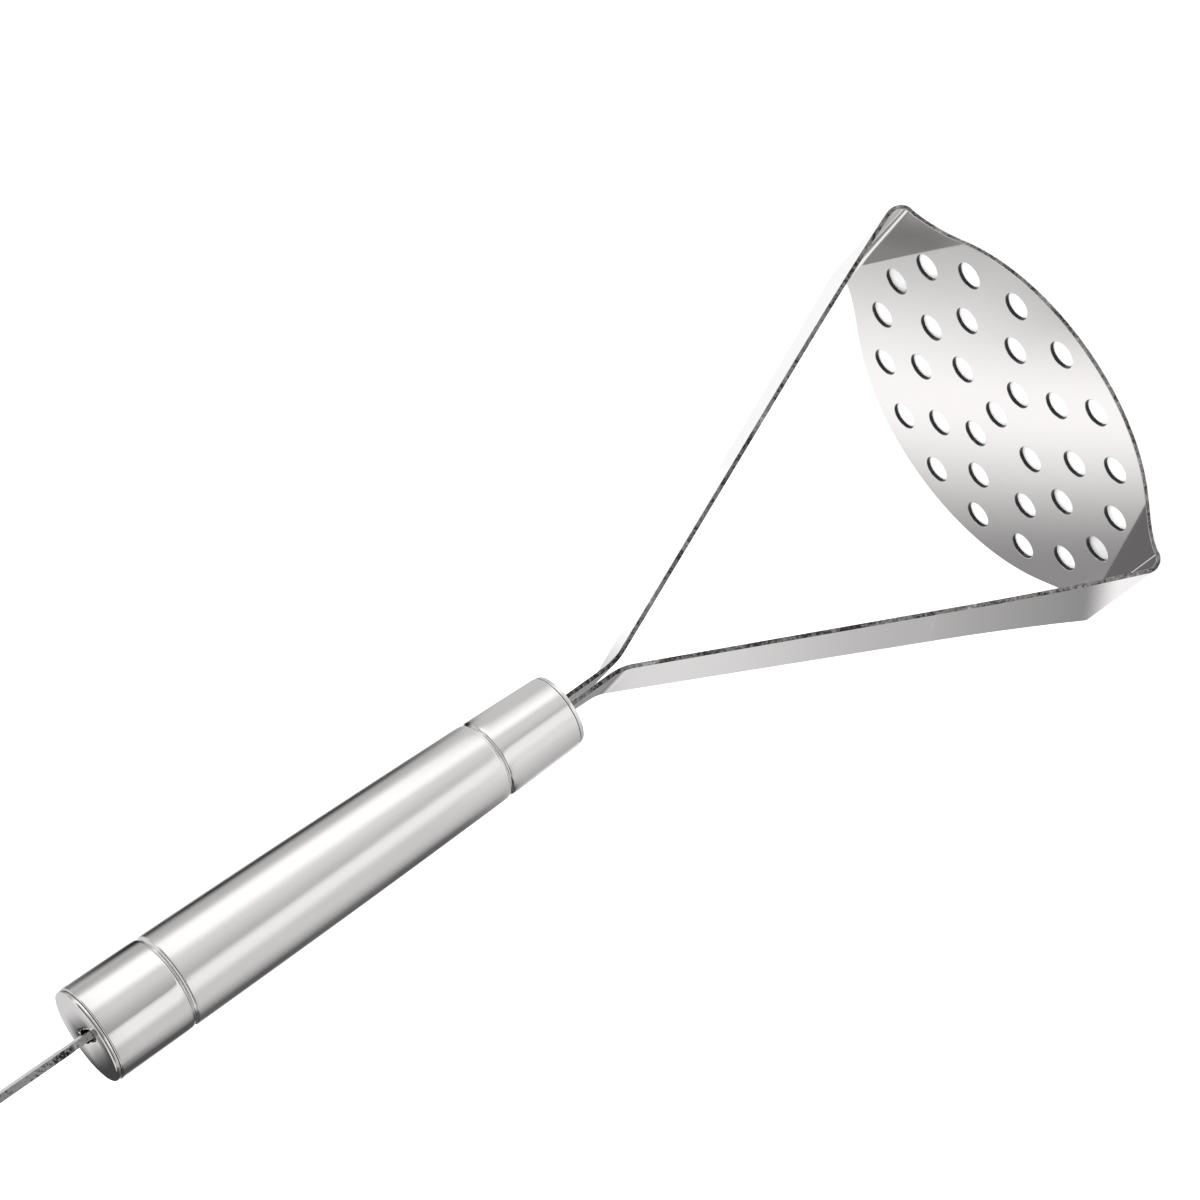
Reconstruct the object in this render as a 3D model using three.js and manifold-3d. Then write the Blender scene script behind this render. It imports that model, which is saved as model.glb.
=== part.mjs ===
// Potato masher of stainless steel, in millimetres, +Z up along the handle.
// One strip of sheet is folded into a perforated mashing plate, two sloping arms and two tangs.
// The tangs are welded into the front cap of a hollow tapered handle, and a flat bar with an eye,
// which the masher hangs by, is welded into its rear cap.
// The origin is the centre of the plate's underside. X runs from arm to arm, Y across the strip.
import * as THREE from "three";
import * as BufferGeometryUtils from "three/addons/utils/BufferGeometryUtils.js";
import Module from "manifold-3d";

// ---- Driving dimensions ---------------------------------------------------------------------

// Blade: the strip that makes the plate, the arms and the tangs.
const sheet = 0.9; // thickness of the strip
const plateRadius = 41.6; // rounded long sides of the plate
const neckStart = 44; // where each side leaves its round for the neck, degrees from the X axis
const neckWidth = 34.6; // width of the strip where the folds begin
const neckSpread = 3.4; // how much further the +X neck spreads towards -Y, cut off the strip's centre
const neckLength = 10; // the least that a neck takes between its round and the fold
const foldSpan = 90.4; // between the corners that the unrounded folds would have
const foldRadius = 2; // inside radius of the folds under the arms
const armWidthLow = 25.6; // width that an arm's straight taper would have at the plate
const armWidthHigh = 17.6; // width of an arm just below its upper bend
const flareHeight = 36; // height up to which an arm flares out to the neck's width
const bendHeight = 104; // height of the corner that the unrounded upper bends would have
const bendRadius = 11; // inside radius of the upper bends
const tangGap = 0.7; // between the two tangs
const tangDepth = 14; // length of tang inside the handle
const handleOffset = 1.3; // how far the tangs and the handle stand off the plate's centre, towards +X

// Holes of the plate: one at the centre and three rings.
const holeDiameter = 6;
const rimMargin = 7.7; // outer ring's radius to the plate's round sides
const foldMargin = 7.3; // outer ring's radius to the start of the folds
const ringCounts = [4, 10, 16];
const ringShares = [0.336, 0.652, 1]; // radius of each ring, as a share of the outer one's

// Handle: a tapered tube with a rolled groove near each end.
const mouthDistance = 12.7; // corner of the upper bends to the tube's front end
const handleLength = 108.5;
const frontRadius = 7.6; // outside radius at the front end
const rearRadius = 9.7; // outside radius at the rear end
const handleBulge = 0.4; // how far the middle swells past a straight taper
const tubeWall = 0.8;
const grooveFromFront = 17.2; // front end to the middle of the front groove
const grooveFromRear = 16.6; // rear end to the middle of the rear groove
const grooveWidth = 2.4;
const grooveDepth = 0.55;

// Caps: pressed cups with a slot, pushed into the ends of the tube up to their flanges.
const capSheet = 0.9; // thickness of a cap's face and flange
const skirtWall = 0.7; // thickness of the wall that goes into the tube
const flangeInset = 0.15; // how far a flange stands back from the tube's outside
const capEdge = 0.45; // chamfer round a flange

// Hanging bar: flat, with a shoulder behind the cap and an eye in its round end.
const barThickness = 1.4;
const barNeckWidth = 8; // width through the slot
const barWidth = 12; // width behind the shoulder
const barShoulder = 3.6; // rear cap's face to the shoulder
const shoulderSlope = 1; // length over which the bar widens
const barReach = 27.8; // rear cap's face to the end of the bar
const barDepth = 13; // length of bar inside the handle
const eyeDiameter = 7;
const barTurn = -6.5; // the rear cap and its bar are pressed in turned by this, degrees about +Z

// Weld beads, one on each side of the tangs and of the bar.
const beadLeg = 1.6; // width of a bead on each of the two sides that it joins
const beadInset = 0.2; // how much shorter a tang bead is at each end than its room

// Clearances.
const skirtClearance = 0.12; // skirt to the tube's inside
const seatClearance = 0.1; // flange to the tube's end
const tangClearance = 0.4; // tangs to the edges of their slot, and to the cap's wall
const barClearance = 0.6; // bar to the edges of its slot
const beadClearance = 0.3; // bead to the metal that it joins

// Fineness of round shapes.
const roundSegments = 48;
const holeSegments = 24;
const bendSegments = 8;
const sideSegments = 24; // each curve of the plate's outline
const flareSegments = 8;

// ---- Sizes worked out from the driving dimensions -----------------------------------------------

const degree = Math.PI / 180;
const handleFront = bendHeight + mouthDistance; // height of the tube's front end
const handleRear = handleFront + handleLength;
const frontGroove = handleFront + grooveFromFront;
const rearGroove = handleRear - grooveFromRear;
const frontFace = handleFront - seatClearance - capSheet; // outer face of the front cap
const rearFace = handleRear + seatClearance + capSheet; // outer face of the rear cap
const tangCentre = (tangGap + sheet) / 2; // X of a tang's middle plane
const tangSide = tangGap / 2 + sheet; // X of a tang's outer side
const frontSkirtInside = frontRadius - tubeWall - skirtClearance - skirtWall;
const tangWidth = 2 * Math.sqrt((frontSkirtInside - tangClearance) ** 2 - tangSide ** 2);
const tangBeadOut = tangSide + beadClearance + beadLeg; // X of a tang bead's outer side
const tangBeadRoom = 2 * Math.sqrt((frontSkirtInside - beadClearance) ** 2 - tangBeadOut ** 2);
const tangBeadLength = tangBeadRoom - 2 * beadInset;
const barBeadLength = barNeckWidth - beadLeg; // half a leg short at each end

const steel = { color: 0xc9cacb, metalness: 1 };

// ---- Helpers ----------------------------------------------------------------------------------------

const wasm = await Module();
wasm.setup();

// A closed manifold-3d solid of a three.js geometry.
function solid(geometry) {
  const bare = geometry.clone();
  bare.deleteAttribute("normal");
  bare.deleteAttribute("uv");
  const merged = BufferGeometryUtils.mergeVertices(bare, 1e-4);
  return new wasm.Manifold(
    new wasm.Mesh({
      numProp: 3,
      vertProperties: new Float32Array(merged.attributes.position.array),
      triVerts: new Uint32Array(merged.index.array),
    }),
  );
}

// The three.js geometry of a manifold-3d solid.
function geometryOf(body) {
  const mesh = body.getMesh();
  const geometry = new THREE.BufferGeometry();
  geometry.setAttribute("position", new THREE.BufferAttribute(new Float32Array(mesh.vertProperties), 3));
  geometry.setIndex(new THREE.BufferAttribute(new Uint32Array(mesh.triVerts), 1));
  geometry.computeVertexNormals();
  return geometry;
}

function named(name, geometry, roughness) {
  const mesh = new THREE.Mesh(geometry, new THREE.MeshStandardMaterial({ ...steel, roughness }));
  mesh.name = name;
  return mesh;
}

// A prism with its outline in XZ, lying along Y and centred on it.
function prismAlongY(outline, width) {
  const geometry = new THREE.ExtrudeGeometry(outline, { depth: width, bevelEnabled: false });
  geometry.translate(0, 0, -width / 2);
  geometry.rotateX(Math.PI / 2);
  return geometry;
}

// A prism with its outline in YZ, lying along X and centred on it.
function prismAlongX(outline, width) {
  const geometry = new THREE.ExtrudeGeometry(outline, { depth: width, bevelEnabled: false });
  geometry.translate(0, 0, -width / 2);
  geometry.rotateY(Math.PI / 2);
  geometry.rotateX(Math.PI / 2);
  return geometry;
}

// A body of revolution about Z whose closed profile is [radius, height] points.
function turned(profile) {
  const points = [...profile, profile[0]].map(([r, z]) => new THREE.Vector2(r, z));
  const geometry = new THREE.LatheGeometry(points, roundSegments);
  geometry.rotateX(Math.PI / 2);
  return geometry;
}

// ---- Blade -----------------------------------------------------------------------------------------

const foldCorner = new THREE.Vector2(foldSpan / 2, sheet / 2);
const plateDirection = new THREE.Vector2(1, 0);
const tangDirection = new THREE.Vector2(0, 1);

// Arc points that round a corner between two directions, each with its left-hand normal.
function roundedCorner(corner, before, after, radius) {
  const turn = Math.atan2(before.x * after.y - before.y * after.x, before.dot(after));
  const setback = radius * Math.tan(Math.abs(turn) / 2);
  const side = Math.sign(turn);
  const start = corner.clone().addScaledVector(before, -setback);
  const centre = start.clone().add(new THREE.Vector2(-before.y, before.x).multiplyScalar(side * radius));
  return Array.from({ length: bendSegments + 1 }, (_, i) => {
    const angle = (turn * i) / bendSegments;
    const normal = new THREE.Vector2(-before.y, before.x).rotateAround(new THREE.Vector2(), angle);
    return { at: centre.clone().addScaledVector(normal, -side * radius), normal };
  });
}

// The rounded corners of one side of the strip, in XZ at the middle of its thickness, as they are
// on the +X side. `tangX` is the middle plane of its tang.
function sideBends(tangX) {
  const bendCorner = new THREE.Vector2(tangX, bendHeight);
  const armDirection = bendCorner.clone().sub(foldCorner).normalize();
  return {
    fold: roundedCorner(foldCorner, plateDirection, armDirection, foldRadius + sheet / 2),
    bend: roundedCorner(bendCorner, armDirection, tangDirection, bendRadius + sheet / 2),
  };
}

const nearSide = sideBends(tangCentre + handleOffset); // the arm on +X, which leans less
const farSide = sideBends(tangCentre - handleOffset); // the arm on -X, turned round to +X
const foldStart = Math.max(nearSide.fold[0].at.x, farSide.fold[0].at.x); // where the flat plate ends

// One arm with its fold and its tang, still as wide as the plate.
function ribbon({ fold, bend }) {
  const overlap = 1; // shared with the plate
  const leftOfPlate = new THREE.Vector2(0, 1);
  const leftOfTang = new THREE.Vector2(-1, 0);
  const path = [
    { at: new THREE.Vector2(foldStart - overlap, sheet / 2), normal: leftOfPlate },
    ...fold,
    ...bend,
    { at: new THREE.Vector2(bend[bendSegments].at.x, handleFront + tangDepth), normal: leftOfTang },
  ];
  const side = (sign) => path.map(({ at, normal }) => at.clone().addScaledVector(normal, (sign * sheet) / 2));
  return prismAlongY(new THREE.Shape([...side(-1), ...side(1).reverse()]), 2 * plateRadius);
}

// The widths of the strip seen along X, as a tall outline in YZ. `spread` widens its -Y side at the neck.
function widthOutline(spread) {
  const armTop = nearSide.bend[0].at.y;
  const below = 1; // how far the outline reaches below the plate
  const flare = Array.from({ length: flareSegments }, (_, i) => {
    const left = 1 - i / flareSegments;
    const z = flareHeight * (1 - left);
    const taper = armWidthLow + ((armWidthHigh - armWidthLow) * z) / armTop;
    return [(taper + (neckWidth - armWidthLow) * left ** 2) / 2, z];
  });
  const half = [
    [neckWidth / 2, -below],
    ...flare,
    [armWidthHigh / 2, armTop],
    [tangWidth / 2, frontFace - tangClearance],
    [tangWidth / 2, handleFront + tangDepth + below],
  ];
  const spreadAt = (z) => spread * THREE.MathUtils.clamp(1 - z / flareHeight, 0, 1) ** 3;
  const wide = half.map(([y, z]) => new THREE.Vector2(-y - spreadAt(z), z)).reverse();
  return new THREE.Shape([...half.map(([y, z]) => new THREE.Vector2(y, z)), ...wide]);
}

// The plate's outline from above: round sides that run in an S into the width of the strip.
function plateOutline() {
  const outline = new THREE.Shape();
  const neckReach = Math.min(1, (foldStart - neckLength) / plateRadius);
  const sideStart = Math.max(neckStart * degree, Math.acos(neckReach));
  const pullOut = 5.5; // length of the S-curve's handle on the round side
  const pullIn = 4; // length of its handle on the strip's side
  const lean = 25 * degree; // slope of the edge where the fold begins
  const roundX = plateRadius * Math.cos(sideStart);
  const roundY = plateRadius * Math.sin(sideStart);
  const outX = roundX + pullOut * Math.sin(sideStart);
  const outY = roundY - pullOut * Math.cos(sideStart);
  const inX = foldStart - pullIn * Math.cos(lean);
  const inRise = pullIn * Math.sin(lean);
  const cornerY = (x, y) => neckWidth / 2 + (x > 0 && y < 0 ? neckSpread : 0);
  outline.moveTo(foldStart, cornerY(1, 1));
  for (const side of [1, -1]) {
    const first = cornerY(side, side);
    const last = cornerY(-side, side);
    const from = side > 0 ? sideStart : Math.PI + sideStart;
    outline.lineTo(side * foldStart, side * first);
    outline.bezierCurveTo(
      side * inX, side * (first + inRise), side * outX, side * outY, side * roundX, side * roundY,
    );
    outline.absarc(0, 0, plateRadius, from, from + Math.PI - 2 * sideStart, false);
    outline.bezierCurveTo(
      -side * outX, side * outY, -side * inX, side * (last + inRise), -side * foldStart, side * last,
    );
  }
  outline.closePath();
  return outline;
}

function plateHole(x, y) {
  const hole = new THREE.Path();
  const radius = holeDiameter / 2;
  const points = Array.from({ length: holeSegments }, (_, i) => {
    const angle = (2 * Math.PI * i) / holeSegments;
    return new THREE.Vector2(x + radius * Math.cos(angle), y + radius * Math.sin(angle));
  });
  return hole.setFromPoints(points);
}

function masherBlade() {
  const outline = plateOutline();
  outline.holes.push(plateHole(0, 0));
  const outerRing = Math.min(plateRadius - rimMargin, foldStart - foldMargin);
  for (const [ring, count] of ringCounts.entries()) {
    const radius = outerRing * ringShares[ring];
    for (let i = 0; i < count; i += 1) {
      const angle = (2 * Math.PI * i) / count;
      outline.holes.push(plateHole(radius * Math.cos(angle), radius * Math.sin(angle)));
    }
  }
  const flat = { depth: sheet, bevelEnabled: false, curveSegments: sideSegments };
  const plate = solid(new THREE.ExtrudeGeometry(outline, flat));
  const widths = (spread) => solid(prismAlongX(widthOutline(spread), 2 * foldSpan));
  const arm = solid(ribbon(nearSide)).intersect(widths(neckSpread));
  const otherArm = solid(ribbon(farSide)).intersect(widths(0)).rotate([0, 0, 180]);
  return geometryOf(plate.add(arm).add(otherArm));
}

// ---- Handle ----------------------------------------------------------------------------------------

// Outside radius of the handle at a height, without its grooves.
function handleRadius(z) {
  const along = (z - handleFront) / handleLength;
  return frontRadius + (rearRadius - frontRadius) * along + 4 * handleBulge * along * (1 - along);
}

// How far the rolled grooves push the wall in at a height.
function grooveAt(z) {
  const depthOf = (middle) => {
    const off = Math.abs(z - middle) / (grooveWidth / 2);
    return off < 1 ? grooveDepth * Math.cos((off * Math.PI) / 2) ** 2 : 0;
  };
  return depthOf(frontGroove) + depthOf(rearGroove);
}

function handleHeights() {
  const heights = [];
  const plain = 6; // steps between the grooves
  const ends = 2; // steps beyond a groove
  const curved = 8; // steps across a groove
  const stops = [
    [handleFront, frontGroove - grooveWidth / 2, ends],
    [frontGroove - grooveWidth / 2, frontGroove + grooveWidth / 2, curved],
    [frontGroove + grooveWidth / 2, rearGroove - grooveWidth / 2, plain],
    [rearGroove - grooveWidth / 2, rearGroove + grooveWidth / 2, curved],
    [rearGroove + grooveWidth / 2, handleRear, ends],
  ];
  for (const [from, to, steps] of stops) {
    for (let i = 0; i < steps; i += 1) {
      heights.push(from + ((to - from) * i) / steps);
    }
  }
  heights.push(handleRear);
  return heights;
}

function handleTube() {
  const heights = handleHeights();
  const outside = heights.map((z) => [handleRadius(z) - grooveAt(z), z]);
  const inside = outside.map(([r, z]) => [r - tubeWall, z]).reverse();
  return turned([...outside, ...inside]);
}

// ---- Caps ------------------------------------------------------------------------------------------

// A pressed cup at one end of the tube. `inward` is +1 for the front end and -1 for the rear end.
function capBody(end, inward, skirtEnd) {
  const flange = handleRadius(end) - flangeInset;
  const seat = end - inward * seatClearance;
  const face = seat - inward * capSheet;
  const skirtAt = (z) => handleRadius(z) - tubeWall - skirtClearance;
  const steps = 4;
  const skirt = Array.from({ length: steps + 1 }, (_, i) => {
    const z = seat + ((skirtEnd - seat) * i) / steps;
    return [Math.min(skirtAt(z), skirtAt(end)), z];
  });
  const disc = [[0, face], [flange - capEdge, face], [flange, face + inward * capEdge], [flange, seat]];
  const inner = skirt.map(([r, z]) => [r - skirtWall, z]).reverse();
  const profile = [...disc, ...skirt, ...inner, [0, seat]];
  return turned(inward > 0 ? profile : profile.reverse());
}

// A block that cuts a slot through a cap's face.
function slotCutter(face, alongX, alongY) {
  const through = 4 * capSheet;
  const block = new THREE.BoxGeometry(alongX, alongY, through);
  block.translate(0, 0, face);
  return solid(block);
}

function frontCap() {
  const skirtEnd = frontGroove - grooveWidth / 2;
  const alongX = tangGap + 2 * sheet + 2 * tangClearance;
  const alongY = tangWidth + 2 * tangClearance;
  const cap = solid(capBody(handleFront, 1, skirtEnd));
  return geometryOf(cap.subtract(slotCutter(frontFace, alongX, alongY)));
}

function rearCap() {
  const skirtEnd = rearGroove + grooveWidth / 2;
  const alongX = barThickness + 2 * barClearance;
  const alongY = barNeckWidth + 2 * barClearance;
  const cap = solid(capBody(handleRear, -1, skirtEnd));
  return geometryOf(cap.subtract(slotCutter(rearFace, alongX, alongY)));
}

// ---- Hanging bar -----------------------------------------------------------------------------------

function hangingBar() {
  const inner = rearFace - barDepth;
  const shoulder = rearFace + barShoulder;
  const roundRadius = barWidth / 2;
  const eyeHeight = rearFace + barReach - roundRadius;
  const outline = new THREE.Shape();
  outline.moveTo(-barNeckWidth / 2, inner);
  outline.lineTo(barNeckWidth / 2, inner);
  outline.lineTo(barNeckWidth / 2, shoulder);
  outline.lineTo(barWidth / 2, shoulder + shoulderSlope);
  outline.lineTo(roundRadius, eyeHeight);
  outline.absarc(0, eyeHeight, roundRadius, 0, Math.PI, false);
  outline.lineTo(-barWidth / 2, shoulder + shoulderSlope);
  outline.lineTo(-barNeckWidth / 2, shoulder);
  outline.closePath();
  outline.holes.push(new THREE.Path().absarc(0, eyeHeight, eyeDiameter / 2, 0, 2 * Math.PI, true));
  return prismAlongX(outline, barThickness);
}

// ---- Weld beads ------------------------------------------------------------------------------------

// A fillet of weld along Y, in the corner between a cap's inside and a flat side at `wall`.
// `side` is +1 or -1 along X, and `inward` points from the cap's inside into the handle.
function weldBead(side, wall, capInside, inward, length) {
  const x = (out) => side * (wall + beadClearance + out);
  const z = (up) => capInside + inward * (beadClearance + up);
  const bulge = 0.62; // how full the bead's face is, as a share of its leg
  const section = new THREE.Shape([
    new THREE.Vector2(x(0), z(0)),
    new THREE.Vector2(x(beadLeg), z(0)),
    new THREE.Vector2(x(beadLeg * bulge), z(beadLeg * bulge)),
    new THREE.Vector2(x(0), z(beadLeg)),
  ]);
  return prismAlongY(section, length);
}

// ---- The masher ------------------------------------------------------------------------------------

const polished = 0.12;
const satin = 0.3;
const rough = 0.6;
const masher = new THREE.Group();
masher.add(named("masher_blade", masherBlade(), polished));

const handle = new THREE.Group();
handle.position.x = handleOffset;
handle.add(named("handle_tube", handleTube(), satin));
handle.add(named("front_cap", frontCap(), polished));

for (const [word, side] of [["left", -1], ["right", 1]]) {
  const bead = weldBead(side, tangSide, frontFace + capSheet, 1, tangBeadLength);
  handle.add(named(`front_weld_${word}`, bead, rough));
}

const rearEnd = new THREE.Group();
rearEnd.rotation.z = barTurn * degree;
rearEnd.add(named("rear_cap", rearCap(), polished));
rearEnd.add(named("hanging_bar", hangingBar(), satin));
for (const [word, side] of [["left", -1], ["right", 1]]) {
  const bead = weldBead(side, barThickness / 2, rearFace - capSheet, -1, barBeadLength);
  rearEnd.add(named(`rear_weld_${word}`, bead, rough));
}
handle.add(rearEnd);
masher.add(handle);

export default masher;
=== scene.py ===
"""A stainless steel potato masher: finished pieces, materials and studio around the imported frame.

Every length is in metres and every place is in the frame's own axes: +Z runs up the handle, X from
arm to arm and Y across the strip that the plate and the arms are cut from.
"""
import math

import bpy
import numpy as np
from bpy.props import FloatProperty, FloatVectorProperty, IntProperty, PointerProperty
from mathutils import Matrix, Vector
from mathutils.geometry import delaunay_2d_cdt


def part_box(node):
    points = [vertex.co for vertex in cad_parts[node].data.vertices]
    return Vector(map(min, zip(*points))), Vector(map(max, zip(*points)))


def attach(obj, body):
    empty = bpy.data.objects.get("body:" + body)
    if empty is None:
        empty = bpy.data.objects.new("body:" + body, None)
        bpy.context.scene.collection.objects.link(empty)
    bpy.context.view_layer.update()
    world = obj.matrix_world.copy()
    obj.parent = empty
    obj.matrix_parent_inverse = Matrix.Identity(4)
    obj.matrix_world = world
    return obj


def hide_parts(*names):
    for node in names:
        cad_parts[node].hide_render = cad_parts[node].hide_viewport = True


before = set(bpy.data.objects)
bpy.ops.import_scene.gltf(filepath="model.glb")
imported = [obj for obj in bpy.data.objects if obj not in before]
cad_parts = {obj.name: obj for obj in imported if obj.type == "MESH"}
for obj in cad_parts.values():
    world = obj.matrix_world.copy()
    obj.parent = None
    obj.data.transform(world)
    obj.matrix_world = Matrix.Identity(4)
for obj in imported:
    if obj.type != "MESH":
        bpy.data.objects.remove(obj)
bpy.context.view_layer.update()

bl_info = {
    "name": "Potato masher",
    "version": (1, 0, 0),
    "blender": (4, 5, 0),
    "location": "View3D > Sidebar > Masher",
    "description": "Builds a folded sheet-steel potato masher piece by piece",
    "category": "Add Mesh",
}

_, BLADE_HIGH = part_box("masher_blade")
TUBE_LOW, TUBE_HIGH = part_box("handle_tube")
FRONT_LOW, FRONT_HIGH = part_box("front_cap")
REAR_LOW, REAR_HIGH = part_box("rear_cap")
BAR_LOW, BAR_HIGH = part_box("hanging_bar")
HANDLE_X = (TUBE_LOW.x + TUBE_HIGH.x) / 2
MM = 0.001


def length(name, description, millimetres):
    """A size of the masher, given in millimetres and kept in metres."""
    return FloatProperty(name=name, description=description, default=millimetres * MM,
                         min=0.0, unit="LENGTH", precision=5)


def colour(name, description, default):
    """A colour of the masher or its floor, in linear light."""
    return FloatVectorProperty(name=name, description=description, default=default,
                               size=3, min=0.0, max=1.0, subtype="COLOR")


def turn(name, description, degrees):
    """An angle, given in degrees and kept in radians."""
    return FloatProperty(name=name, description=description, default=math.radians(degrees),
                         subtype="ANGLE")


# ---- Settings ----


class BladeSettings(bpy.types.PropertyGroup):
    """Sizes and finish of the strip that makes the plate, the arms and the tangs."""

    sheet: length("Sheet", "Thickness of the strip", 0.9)
    plate_radius: length("Plate radius", "Radius of the plate's round sides", BLADE_HIGH.y / MM)
    neck_start: turn("Neck start", "Where a side leaves its round for the neck", 44)
    neck_width: length("Neck width", "Width of the strip where the folds begin", 34.6)
    neck_spread: length("Neck spread", "How much further the +X neck spreads towards -Y", 3.4)
    fold_span: length("Fold span", "Between the corners of the unrounded folds", 90.4)
    fold_radius: length("Fold radius", "Inside radius of the folds", 2)
    arm_width_low: length("Arm width, low", "Width of an arm's straight taper at the plate", 25.6)
    arm_width_high: length("Arm width, high", "Width of an arm below its upper bend", 17.6)
    flare_height: length("Flare height", "Height up to which an arm flares out", 36)
    bend_height: length("Bend height", "Height of the corner of the unrounded upper bend", 104)
    bend_radius: length("Bend radius", "Inside radius of the upper bends", 11)
    tang_gap: length("Tang gap", "Between the two tangs", 0.7)
    tang_width: length("Tang width", "Width of a tang", 10.87)
    hole: length("Hole", "Diameter of the holes", 6)
    roll_over: length("Roll-over", "Rounding of the edges that the die entered", 0.1)
    burr_round: length("Burr rounding", "Rounding of the edges that the die left", 0.07)
    face: colour("Face", "Colour of the buffed faces", (0.868, 0.843, 0.838))
    edge: colour("Edge", "Colour of the sheared edges", (0.2, 0.195, 0.19))
    # The holes' walls are coloured nearly black: this is painted shade in the holes, not the steel's own
    # colour.
    hole_shade: colour("Pierced edge", "Colour of the holes' walls", (0.03, 0.03, 0.03))


class HandleSettings(bpy.types.PropertyGroup):
    """Sizes and finish of the hollow handle and its two caps."""

    front_radius: length("Front radius", "Outside radius at the front end", 7.6)
    rear_radius: length("Rear radius", "Outside radius at the rear end", 9.7)
    bulge: length("Bulge", "How far the middle swells past a straight taper", 0.4)
    wall: length("Wall", "Thickness of the tube's wall", 0.8)
    front_groove: length("Front groove", "Front end to the middle of its groove", 17.2)
    rear_groove: length("Rear groove", "Rear end to the middle of its groove", 16.6)
    groove_depth: length("Groove depth", "Depth of the rolled grooves", 0.55)
    groove_width: length("Groove width", "Half width of a groove's narrow bottom", 0.36)
    shoulder: length("Groove shoulder", "How far the tube rounds off beside a groove", 1.25)
    cap_sheet: length("Cap sheet", "Thickness of a cap's face", 0.9)
    skirt_wall: length("Skirt wall", "Thickness of a cap's skirt", 0.7)
    skirt_gap: length("Skirt gap", "Clearance between a skirt and the tube", 0.12)
    cap_inset: length("Cap inset", "How far a flange stands back from the tube's outside", 0.15)
    cap_edge: length("Cap edge", "Rounding of a flange", 0.45)
    dish: length("Dish", "How far a cap's face sinks to its slot", 0.32)
    steel: colour("Steel", "Colour of the handle's steel", (0.85, 0.828, 0.822))


class BarSettings(bpy.types.PropertyGroup):
    """Sizes and finish of the bar that the masher hangs by."""

    thickness: length("Thickness", "Thickness of the bar", 1.4)
    neck_width: length("Neck width", "Width of the bar through the cap's slot", 8)
    width: length("Width", "Width of the bar behind its shoulder", 12)
    shoulder: length("Shoulder", "Cap's face to the shoulder", 3.6)
    slope: length("Slope", "Length over which the bar widens", 1)
    eye: length("Eye", "Diameter of the eye", 7)
    rounding: length("Rounding", "Rounding of the sheared edges", 0.12)
    turned: turn("Turned", "How far the rear cap and the bar are turned about the handle", -6.5)
    face: colour("Face", "Colour of the bar's faces", (0.75, 0.735, 0.73))
    edge: colour("Edge", "Colour of the bar's sheared edges", (0.5, 0.49, 0.48))


class WeldSettings(bpy.types.PropertyGroup):
    """Sizes and finish of the weld beads inside the handle."""

    leg: length("Leg", "Leg of a bead", 1.6)
    gap: length("Gap", "Clearance between a bead and the metal", 0.3)
    ripple: length("Ripple", "Pitch of the ripples along a bead", 0.7)
    steel: colour("Steel", "Colour of the weld metal", (0.42, 0.40, 0.38))
    tint: colour("Heat tint", "Colour of the heat tint", (0.30, 0.20, 0.12))


class StudioSettings(bpy.types.PropertyGroup):
    """Floor, light and camera."""

    floor: colour("Floor", "Colour of the floor", (0.88, 0.88, 0.88))
    daylight: FloatProperty(name="Room light", description="Strength of the room's even light",
                            default=2.0, min=0.0)
    tent_radius: length("Tent radius", "Radius of the light tent round the masher", 150)
    tent_height: length("Tent height", "Height of the light tent", 320)
    place: FloatVectorProperty(name="Camera", description="Where the camera stands",
                               default=(-0.04397, -0.64195, 0.37028), unit="LENGTH")
    heading: turn("Heading", "Camera's heading from +Y towards +X", 5.1806)
    down: turn("Down", "How far the camera looks down", 23.0863)
    roll: turn("Roll", "How far the camera is rolled", -124.26)
    lens: FloatProperty(name="Lens", description="Focal length in millimetres", default=109.036)
    segments: IntProperty(name="Fineness", description="Faces round a circle", default=144, min=12)


# ---- Meshes ----


def mesh_object(name, vertices, faces, face_materials=None, normals=None, uv=None):
    """A finished piece at the origin, from whole arrays of corners and faces."""
    mesh = bpy.data.meshes.new(name)
    mesh.from_pydata(vertices.tolist(), [], faces)
    mesh.polygons.foreach_set("use_smooth", np.ones(len(mesh.polygons), bool))
    if face_materials is not None:
        mesh.polygons.foreach_set("material_index", np.asarray(face_materials, np.int32))
    corners = np.empty(len(mesh.loops), np.int32)
    mesh.loops.foreach_get("vertex_index", corners)
    if uv is not None:
        layer = mesh.uv_layers.new(name="along_strip")
        layer.data.foreach_set("uv", np.asarray(uv, np.float32)[corners].ravel())
    mesh.update()
    if normals is not None:
        mesh.normals_split_custom_set_from_vertices(normals.tolist())
    piece = bpy.data.objects.new(name, mesh)
    bpy.context.scene.collection.objects.link(piece)
    return piece


def loft(name, rings, ends_closed=False):
    """A skin through rings of points, an array of ring by point by XYZ. The last ring joins the
    first, as round a tube's wall, or both end rings are filled when `ends_closed` is set."""
    count, around = rings.shape[:2]
    index = np.arange(count * around).reshape(count, around)
    here = index if not ends_closed else index[:-1]
    there = np.roll(index, -1, axis=0) if not ends_closed else index[1:]
    quads = np.stack(
        [here, np.roll(here, -1, 1), np.roll(there, -1, 1), there], axis=-1
    ).reshape(-1, 4).tolist()
    if ends_closed:
        quads += [index[0][::-1].tolist(), index[-1].tolist()]
    piece = mesh_object(name, rings.reshape(-1, 3), quads)
    weigh = piece.modifiers.new("even_shading", "WEIGHTED_NORMAL")
    weigh.keep_sharp = False
    return piece


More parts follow.
